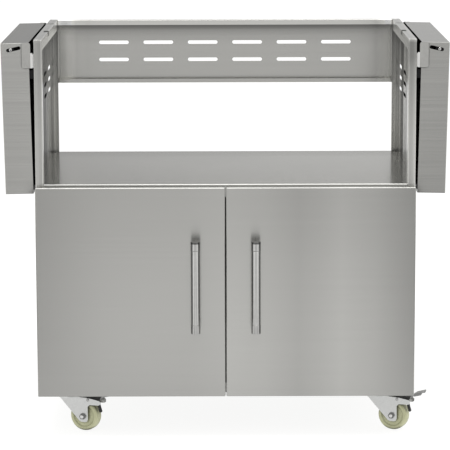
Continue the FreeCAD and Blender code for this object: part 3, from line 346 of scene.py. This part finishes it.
def two_tone(name, first, second, mask, rough=(0.4, 0.25), seed=0.0, metallic=1.0):
    """Metal that is one tone over most of the piece and another where mask(tree, x, y, z) is 1."""
    material, tree, shader = new_material(name)
    where = add(tree, "ShaderNodeTexCoord")
    split = add(tree, "ShaderNodeSeparateXYZ")
    feed(tree, where.outputs["Object"], split.inputs[0])
    chosen = mask(tree, *split.outputs)
    spot = vector_node(tree, "ADD", where.outputs["Object"], (seed * 0.31, seed * 0.47, seed * 0.19))
    fine = noise(tree, spot, 700.0, 3.0, 0.6)
    cloud = noise(tree, spot, 50.0, 3.0, 0.6)
    tone = math_node(tree, "ADD", math_node(tree, "MULTIPLY", fine, 0.5), math_node(tree, "MULTIPLY", cloud, 0.5))
    tints = [ramp(tree, tone, [(0.3, shade(c, 0.92)), (0.5, c), (0.7, shade(c, 1.08))]) for c in (first, second)]
    feed(tree, blended(tree, chosen, *tints), shader.inputs["Base Color"])
    gloss = [between(tree, tone, r - 0.04, r + 0.04) for r in rough]
    step = math_node(tree, "SUBTRACT", gloss[1], gloss[0])
    feed(tree, math_node(tree, "MULTIPLY_ADD", chosen, step, gloss[0]), shader.inputs["Roughness"])
    shader.inputs["Metallic"].default_value = metallic
    feed(tree, bump(tree, fine, 0.00001, 0.4), shader.inputs["Normal"])
    return material


def beyond(limit, soft=0.0004):
    """A mask of the part of a piece whose distance from the shelf's middle plane passes limit."""
    def mask(tree, x, y, z):
        off = math_node(tree, "ABSOLUTE", math_node(tree, "SUBTRACT", y, MIDDLE_Y))
        return smooth(tree, off, limit - soft, limit + soft, 0.0, 1.0)
    return mask


def inside_x(limit, soft=0.0004):
    """A mask of the part of a piece that lies nearer the cart's middle than limit."""
    def mask(tree, x, y, z):
        return smooth(tree, math_node(tree, "ABSOLUTE", x), limit - soft, limit + soft, 1.0, 0.0)
    return mask


def outward(point, direction, limit, soft=0.0004):
    """A mask of the part of a piece further than limit along direction from point."""
    def mask(tree, x, y, z):
        run = math_node(tree, "ADD", math_node(tree, "MULTIPLY", math_node(tree, "SUBTRACT", x, point[0]), direction[0]),
                        math_node(tree, "MULTIPLY", math_node(tree, "SUBTRACT", y, point[1]), direction[1]))
        end = smooth(tree, run, limit - soft, limit + soft, 0.0, 1.0)
        rivet = smooth(tree, z, 0.060, 0.068, 0.0, 0.45)
        return math_node(tree, "MAXIMUM", end, rivet)
    return mask


def zinc(name, base, rough=0.3, seed=0.0):
    """Bright zinc plate: small crystals that differ a little in tone and gloss."""
    material, tree, shader = new_material(name)
    where = add(tree, "ShaderNodeTexCoord")
    spot = vector_node(tree, "ADD", where.outputs["Object"], (seed, seed * 0.7, seed * 0.3))
    cells = add(tree, "ShaderNodeTexVoronoi", feature="F1")
    cells.inputs["Scale"].default_value = 240.0
    feed(tree, spot, cells.inputs["Vector"])
    cell = add(tree, "ShaderNodeSeparateColor")
    feed(tree, cells.outputs["Color"], cell.inputs[0])
    stain = noise(tree, spot, 28.0, 4.0, 0.6)
    tone = math_node(tree, "ADD", math_node(tree, "MULTIPLY", cell.outputs[0], 0.4),
                     math_node(tree, "MULTIPLY", stain, 0.6))
    feed(tree, ramp(tree, tone, [(0.2, shade(base, 0.95)), (0.5, base), (0.8, shade(base, 1.03))]),
         shader.inputs["Base Color"])
    feed(tree, between(tree, tone, rough - 0.04, rough + 0.04), shader.inputs["Roughness"])
    shader.inputs["Metallic"].default_value = 1.0
    feed(tree, bump(tree, stain, 0.00008, 0.25), shader.inputs["Normal"])
    return material


def moulded(name, base, dark, rough=0.45, seed=0.0, grit=900.0, dent=0.00005, cloud_scale=40.0, specular=0.5, fold_shade=None):
    """Moulded plastic or rubber: a mottled colour with a fine matt grain, with painted shade in gaps (fold)."""
    material, tree, shader = new_material(name)
    where = add(tree, "ShaderNodeTexCoord")
    spot = vector_node(tree, "ADD", where.outputs["Object"], (seed, seed * 0.4, seed * 0.8))
    cloud = noise(tree, spot, cloud_scale, 4.0, 0.6, 0.3)
    grain = noise(tree, spot, grit, 2.0, 0.5)
    tone = math_node(tree, "ADD", math_node(tree, "MULTIPLY", cloud, 0.75), math_node(tree, "MULTIPLY", grain, 0.25))
    colour = ramp(tree, tone, [(0.3, dark), (0.55, base), (0.75, shade(base, 1.08))])
    # Painted shade in gaps.
    if fold_shade is not None:
        colour = scaled(tree, colour, painted_gap_shade(tree, *fold_shade))
    feed(tree, colour, shader.inputs["Base Color"])
    feed(tree, between(tree, tone, rough + 0.08, rough - 0.06), shader.inputs["Roughness"])
    shader.inputs["Specular IOR Level"].default_value = specular
    feed(tree, bump(tree, grain, dent, 0.5), shader.inputs["Normal"])
    return material


STEEL = (0.500, 0.497, 0.476)
shelf_lo, shelf_hi = ([f(v.co.y for v in nodes["shelf_left_pan"].data.vertices) for f in (min, max)])
MIDDLE_Y = (shelf_lo + shelf_hi) / 2.0
looks = {
    # The drifts on the doors paint the light and shade of their reflections across and up each door.
    "door_left": brushed("brushed_door_left", STEEL, seed=1.3, wave=0.0005,
                         painted_light_drifts=(("X", [(-0.457, 0.955), (-0.30, 1.0), (-0.20, 1.01), (-0.10, 1.01), (0.0, 1.05)]),
                                 ("Z", [(0.11, 1.055), (0.22, 1.05), (0.36, 1.03), (0.46, 1.0), (0.53, 0.975), (0.60, 0.955)]))),
    "door_right": brushed("brushed_door_right", STEEL, seed=4.1, wave=0.0006,
                          painted_light_drifts=(("X", [(0.0, 1.10), (0.09, 1.05), (0.175, 0.93), (0.225, 0.99), (0.28, 1.09), (0.36, 1.03), (0.457, 0.85)]),
                                  ("Z", [(0.11, 1.10), (0.22, 1.07), (0.34, 1.03), (0.44, 0.99), (0.53, 0.94), (0.60, 0.91)]))),
    "liner": brushed("brushed_liner", shade(STEEL, 0.96), seed=2.7),
    # The side panels carry painted light and shade: slow changes of tone, the edge-on tint of the inward walls, light
    # on the return lips with shadow below, the rear post, the slot edges and the folds; left and right differ in it.
    "side_left": brushed("brushed_side_left", STEEL, seed=6.2, top_grain="y", graze=0.93,
                         fold_shade=(0.05, 0.80), painted_light_drifts=(("Z", [(0.60, 1.13), (0.74, 1.13), (0.86, 0.99), (0.955, 0.87), (0.966, 0.87), (0.970, 0.97), (0.974, 0.97)]),
                                 ("X", [(-0.457, 0.93), (-0.4545, 1.08), (-0.450, 1.10), (-0.446, 1.0), (-0.441, 0.98), (-0.4395, 1.12), (-0.437, 1.30)])),
                         wall=[(-0.26, 0.05), (0.02, 0.12), (0.15, 0.45), (0.215, 0.78), (0.28, 0.80), (0.328, 1.0)],
                         lip=(0.4386, 0.9478, -0.2310, 1.0, [(0.80, 1.0), (0.90, 0.9), (0.948, 0.55), (0.974, 0.55)]),
                         slot_shade=(-0.22, 0.29, 0.785, 0.868, 0.35), outer=0.85,
                         rear=(0.300, [(0.437, 0.95), (0.4395, 1.05), (0.441, 1.50), (0.447, 1.50), (0.449, 1.70), (0.4505, 1.0), (0.457, 1.0)])),
    "side_right": brushed("brushed_side_right", STEEL, seed=6.9, top_grain="y", graze=0.98,
                          fold_shade=(0.05, 0.80), painted_light_drifts=(("Z", [(0.60, 1.13), (0.66, 1.25), (0.74, 1.27), (0.84, 1.02), (0.905, 0.84), (0.93, 0.66), (0.966, 0.64), (0.970, 0.97), (0.974, 0.97)]),
                                  ("X", [(0.437, 1.30), (0.4390, 1.12), (0.4400, 0.95), (0.444, 0.88), (0.449, 0.96), (0.452, 1.12), (0.457, 1.14)])),
                          wall=[(-0.26, 0.60), (0.07, 0.58), (0.13, 0.80), (0.165, 0.20), (0.235, 0.22), (0.265, 0.85), (0.33, 0.95)],
                          lip=(0.4386, 0.9478, -0.2310, 1.0, [(0.80, 1.0), (0.86, 1.05), (0.90, 1.05), (0.948, 0.75), (0.974, 0.75)]),
                          slot_shade=(-0.22, 0.29, 0.785, 0.868, 0.12), outer=0.62,
                          rear=(0.300, [(0.437, 1.0), (0.4390, 1.20), (0.4425, 1.90), (0.4465, 2.0), (0.4490, 1.20), (0.451, 0.90), (0.457, 0.90)])),
    # The drifts on the back panel paint the shadow under its top lip, light on the lip, darker edges and lighter bands
    # near its ends.
    "back": brushed("brushed_back", STEEL, seed=7.9, streak=0.04, one_side=True,
                    painted_light_drifts=(("Z", [(0.815, 1.0), (0.905, 1.0), (0.930, 0.91), (0.945, 0.74), (0.953, 0.46), (0.9602, 0.36), (0.9607, 1.32), (0.976, 1.32)]),
                            ("X", [(-0.437, 0.55), (-0.4345, 0.90), (-0.4325, 2.0), (-0.412, 1.92), (-0.388, 1.18), (-0.36, 1.03), (-0.20, 0.98),
                                   (0.25, 0.97), (0.395, 1.0), (0.42, 1.62), (0.4325, 1.80), (0.4345, 0.90), (0.437, 0.55)]))),
    "back_low": brushed("brushed_back_low", shade(STEEL, 0.96), seed=8.6, streak=0.04),
    # The drifts on the bay floor paint shade to the left and towards the rear.
    "floor": brushed("brushed_bay_floor", STEEL, rough=0.2, seed=9.4, wave=0.0003, graze=0.88,
                     painted_light_drifts=(("X", [(-0.45, 0.88), (0.0, 1.0), (0.45, 1.0)]), ("Y", [(0.20, 1.0), (0.322, 0.80)]))),
    "base": brushed("brushed_base", shade(STEEL, 0.95), seed=11.8),
    # The two shelves differ in tone and edge-on tint as painted light and shade, and their fold paints shade in the pan
    # and beside the brackets.
    "shelf_left": brushed("brushed_shelf_left", shade(STEEL, 1.07), seed=13.1, top_grain="y", graze=0.58, streak=0.05,
                          fold_shade=(0.10, 0.05, 0.42, 0.95, False), bend_shade=0.42, stroke=0.035),
    "shelf_right": brushed("brushed_shelf_right", shade(STEEL, 0.905), seed=14.6, top_grain="y", graze=0.78, streak=0.05,
                           fold_shade=(0.10, 0.05, 0.42, 0.95, False), bend_shade=0.42, stroke=0.035),
    # On the handle, flank paints shade on the bar's sides, and rise makes it a little darker at both ends, gives dark
    # joint lines with lighter bands beside them and paints shade on the top end.
    "handle": satin("satin_handle", (0.59, 0.586, 0.570), rough=0.15, seed=3.3,
                    flank_shade=[(0.0, 1.0), (0.50, 1.0), (0.75, 0.52), (1.0, 0.28)],
                    rise=[(0.2730, 0.9), (0.2945, 0.9), (0.2952, 0.6), (0.2960, 1.08), (0.30, 1.0), (0.470, 1.0), (0.4735, 1.1), (0.4745, 0.6), (0.4752, 0.92), (0.4905, 0.92), (0.4930, 0.22), (0.4966, 0.22)]),
    # The part of the brackets nearer the middle than 0.4641 m is painted near white: painted light on the strip beside
    # the post.
    "bracket": two_tone("bracket_painted_light", shade(STEEL, 1.0), (0.88, 0.875, 0.86), inside_x(0.4641), (0.26, 0.22), 5.7),
    "tab": satin("satin_tab", (0.62, 0.615, 0.595), rough=0.26, seed=5.7, grain=(300.0, 300.0, 300.0)),
    "fastener": satin("satin_fastener", (0.64, 0.63, 0.60), rough=0.22, seed=8.8, grain=(900.0, 900.0, 900.0)),
    # The pivot pins are painted black as shade in the slots, and near white past the shelf's faces as a painted
    # highlight.
    "pin": two_tone("pin_painted_shade_and_highlight", (0.02, 0.02, 0.02), (0.90, 0.895, 0.88), beyond((shelf_hi - shelf_lo) / 2.0 + 0.0004), (0.45, 0.2), 7.4),
    # The arms are painted near black: painted shade in the gap under the brackets.
    "arm": moulded("arm_painted_shade", (0.007, 0.007, 0.0075), (0.004, 0.004, 0.0045), 0.5, 3.7, dent=0.00002, specular=0.2),
    "strike": zinc("zinc_strike", (0.62, 0.62, 0.60), 0.36, 2.2),
    "zinc": zinc("zinc_fork", (0.80, 0.805, 0.79), 0.30, 3.1),
    "pedal": zinc("zinc_pedal", (0.34, 0.34, 0.335), 0.38, 5.2),
    # The wheel's fold paints shade near the fork and in its gaps.
    "wheel": moulded("nylon_wheel", (0.54, 0.545, 0.345), (0.43, 0.43, 0.25), 0.36, 1.1, fold_shade=(0.016, 0.25, 0.35, 0.98, False)),
    "bush": moulded("nylon_bush", (0.70, 0.69, 0.64), (0.60, 0.59, 0.53), 0.4, 2.3),
    "magnet": moulded("magnet_ferrite", (0.055, 0.055, 0.058), (0.035, 0.035, 0.038), 0.5, 4.0),
    "rubber": moulded("black_rubber", (0.022, 0.022, 0.022), (0.012, 0.012, 0.012), 0.62, 6.1),
}


def middle(name):
    """The middle of a node's box, seen from above."""
    points = [v.co for v in nodes[name].data.vertices]
    return tuple((min(p[k] for p in points) + max(p[k] for p in points)) / 2.0 for k in (0, 1))


# The axle nuts are painted dark as shade around the nut and near white on the dome as a painted highlight; parts from
# 0.06 m up are blended partway to the light tone.
AXLE = (-0.4067, -0.9135)
for corner in ("front_left", "front_right"):
    looks["axle_" + corner] = two_tone("axle_nut_painted_light_" + corner, (0.22, 0.222, 0.22), (0.90, 0.895, 0.88),
                                       outward(middle("caster_%s_wheel" % corner), AXLE, 0.0230), (0.34, 0.16), 9.2)


def look_of(node):
    if node.startswith("caster_front") and node.endswith("_axle"):
        return "axle_" + node[len("caster_"):-len("_axle")]
    if node.startswith("caster"):
        for ending, look in (("_fork", "zinc"), ("_plates", "zinc"), ("_bolts", "fastener"), ("_axle", "fastener"),
                             ("_wheel", "wheel"), ("_pedal", "pedal"), ("_brake_shoe", "rubber")):
            if node.endswith(ending):
                return look
    if node.startswith(("door_left_", "door_right_")):
        side = "door_left" if node.startswith("door_left") else "door_right"
        for ending, look in (("_skin", side), ("_liner", "liner"), ("_bushes", "bush"), ("_handle_bar", "handle"),
                             ("_handle_posts", "handle"), ("_handle_screws", "fastener"), ("_strike", "strike")):
            if node.endswith(ending):
                return look
    if node.startswith("shelf"):
        side = "shelf_left" if node.startswith("shelf_left") else "shelf_right"
        for ending, look in (("_pan", side), ("_stiffener", side), ("_brackets", "bracket"), ("_arms", "arm"),
                             ("_pivot_pins", "pin"), ("_screws", "fastener"), ("_pads", "rubber")):
            if node.endswith(ending):
                return look
    return {
        "side_panel_left": "side_left", "side_panel_right": "side_right", "back_panel_upper": "back",
        "back_panel_lower": "back_low", "bay_floor": "floor", "front_rail": "base", "base_panel": "base",
        "door_pivot_tabs": "tab", "door_magnets": "magnet", "door_bumpers": "rubber",
    }[node]


for name, thing in nodes.items():
    thing.data.materials.clear()
    thing.data.materials.append(looks[look_of(name)])


# ---------------------------------------------------------------- stage
def card(name, corners, material):
    mesh = bpy.data.meshes.new(name)
    mesh.from_pydata([tuple(c) for c in corners], [], [tuple(range(len(corners)))])
    mesh.update()
    thing = bpy.data.objects.new(name, mesh)
    scene.collection.objects.link(thing)
    mesh.materials.append(material)
    return thing


def only_reflected(thing):
    """A studio card that shows in gloss and nowhere else."""
    thing.visible_camera = False
    thing.visible_diffuse = False
    thing.visible_transmission = False
    thing.visible_volume_scatter = False
    thing.visible_shadow = False


def lit_table(name):
    """A pale lit table: a matt white sheet with light behind it."""
    material, tree, shader = new_material(name)
    where = add(tree, "ShaderNodeTexCoord")
    cloud = noise(tree, where.outputs["Object"], 0.6, 2.0)
    feed(tree, ramp(tree, cloud, [(0.3, (0.19, 0.19, 0.189)), (0.7, (0.21, 0.21, 0.209))]), shader.inputs["Base Color"])
    shader.inputs["Roughness"].default_value = 0.9
    shader.inputs["Specular IOR Level"].default_value = 0.0
    shader.inputs["Emission Color"].default_value = (1.0, 1.0, 0.995, 1.0)
    shader.inputs["Emission Strength"].default_value = 0.88
    return material


def glow(name, build):
    """A card whose light is given by build(tree, object position)."""
    material = bpy.data.materials.new(name)
    material.use_nodes = True
    tree = material.node_tree
    tree.nodes.clear()
    out = tree.nodes.new("ShaderNodeOutputMaterial")
    lamp = tree.nodes.new("ShaderNodeEmission")
    feed(tree, lamp.outputs[0], out.inputs["Surface"])
    where = add(tree, "ShaderNodeTexCoord")
    split = add(tree, "ShaderNodeSeparateXYZ")
    feed(tree, where.outputs["Object"], split.inputs[0])
    feed(tree, build(tree, split.outputs), lamp.inputs["Strength"])
    return material


def table_gloss(tree, at):
    """What steel sees in the table: bright in the middle, dimmer to the sides and further out."""
    x, y = at[0], at[1]
    reach = math_node(tree, "MULTIPLY", math_node(tree, "ADD", y, 0.28), -1.0)
    edge = math_node(tree, "SUBTRACT", math_node(tree, "ABSOLUTE", x), math_node(tree, "MULTIPLY", reach, 0.075))
    side = smooth(tree, edge, 0.22, 0.62, 1.0, 0.62)
    tilt = math_node(tree, "SUBTRACT", edge, smooth(tree, x, -0.5, 0.5, 0.07, -0.05))
    high = smooth(tree, tilt, 0.47, 0.60, 1.16, 0.72)
    upper = smooth(tree, reach, 4.6, 6.6, 0.0, 1.0)
    side = math_node(tree, "ADD", side, math_node(tree, "MULTIPLY", upper, math_node(tree, "SUBTRACT", high, side)))
    close = smooth(tree, reach, 0.40, 0.80, 1.0, 0.0)
    side = math_node(tree, "ADD", side, math_node(tree, "MULTIPLY", close, math_node(tree, "SUBTRACT", 0.80, side)))
    side = math_node(tree, "ADD", side, smooth(tree, edge, 0.70, 1.15, 0.0, 0.62))
    far = smooth(tree, reach, 0.3, 4.5, 0.89, 0.77)
    far = math_node(tree, "MULTIPLY", far, smooth(tree, reach, 6.0, 8.5, 1.0, 0.92))
    return math_node(tree, "MULTIPLY", side, far)


table = card("table", [(-60, -60, 0), (60, -60, 0), (60, 60, 0), (-60, 60, 0)], lit_table("lit_table"))
table.visible_glossy = False
sheen = card("table_gloss", [(-60, -60, -0.002), (60, -60, -0.002), (60, 60, -0.002), (-60, 60, -0.002)],
             glow("table_gloss", table_gloss))
only_reflected(sheen)

dark = glow("flag", lambda tree, at: smooth(tree, at[2], 0.0, 0.9, 0.26, 0.30))
for side, sign in (("left", -1.0), ("right", 1.0)):
    flag = card("flag_" + side, [(sign * 0.64, -0.285, 0.14), (sign * 0.64, -0.56, 0.14),
                                 (sign * 0.64, -0.56, 0.50), (sign * 0.64, -0.285, 0.50)], dark)
    only_reflected(flag)


# ---------------------------------------------------------------- light
world = bpy.data.worlds.new("studio")
scene.world = world
world.use_nodes = True
tree = world.node_tree
tree.nodes.clear()
sky_out = tree.nodes.new("ShaderNodeOutputWorld")
sky = tree.nodes.new("ShaderNodeBackground")
feed(tree, sky.outputs[0], sky_out.inputs["Surface"])
where = add(tree, "ShaderNodeTexCoord")
split = add(tree, "ShaderNodeSeparateXYZ")
feed(tree, where.outputs["Generated"], split.inputs[0])
height = smooth(tree, split.outputs["Z"], 0.10, 0.60, 0.60, 1.15)
lean = smooth(tree, split.outputs["X"], -0.12, 0.12, 0.88, 1.10)
feed(tree, math_node(tree, "MULTIPLY", height, lean), sky.inputs["Strength"])
sky.inputs["Color"].default_value = (1.0, 0.998, 0.99, 1.0)


def softbox(name, place, target, size, power):
    data = bpy.data.lights.new(name, "AREA")
    data.shape = "RECTANGLE"
    data.size, data.size_y = size
    data.energy = power
    lamp = bpy.data.objects.new(name, data)
    scene.collection.objects.link(lamp)
    lamp.location = place
    lamp.rotation_euler = (Vector(target) - Vector(place)).to_track_quat("-Z", "Y").to_euler()
    lamp.visible_camera = False
    return lamp


softbox("overhead", (0.0, -0.9, 3.4), (0.0, 0.0, 0.6), (3.2, 1.8), 60.0)
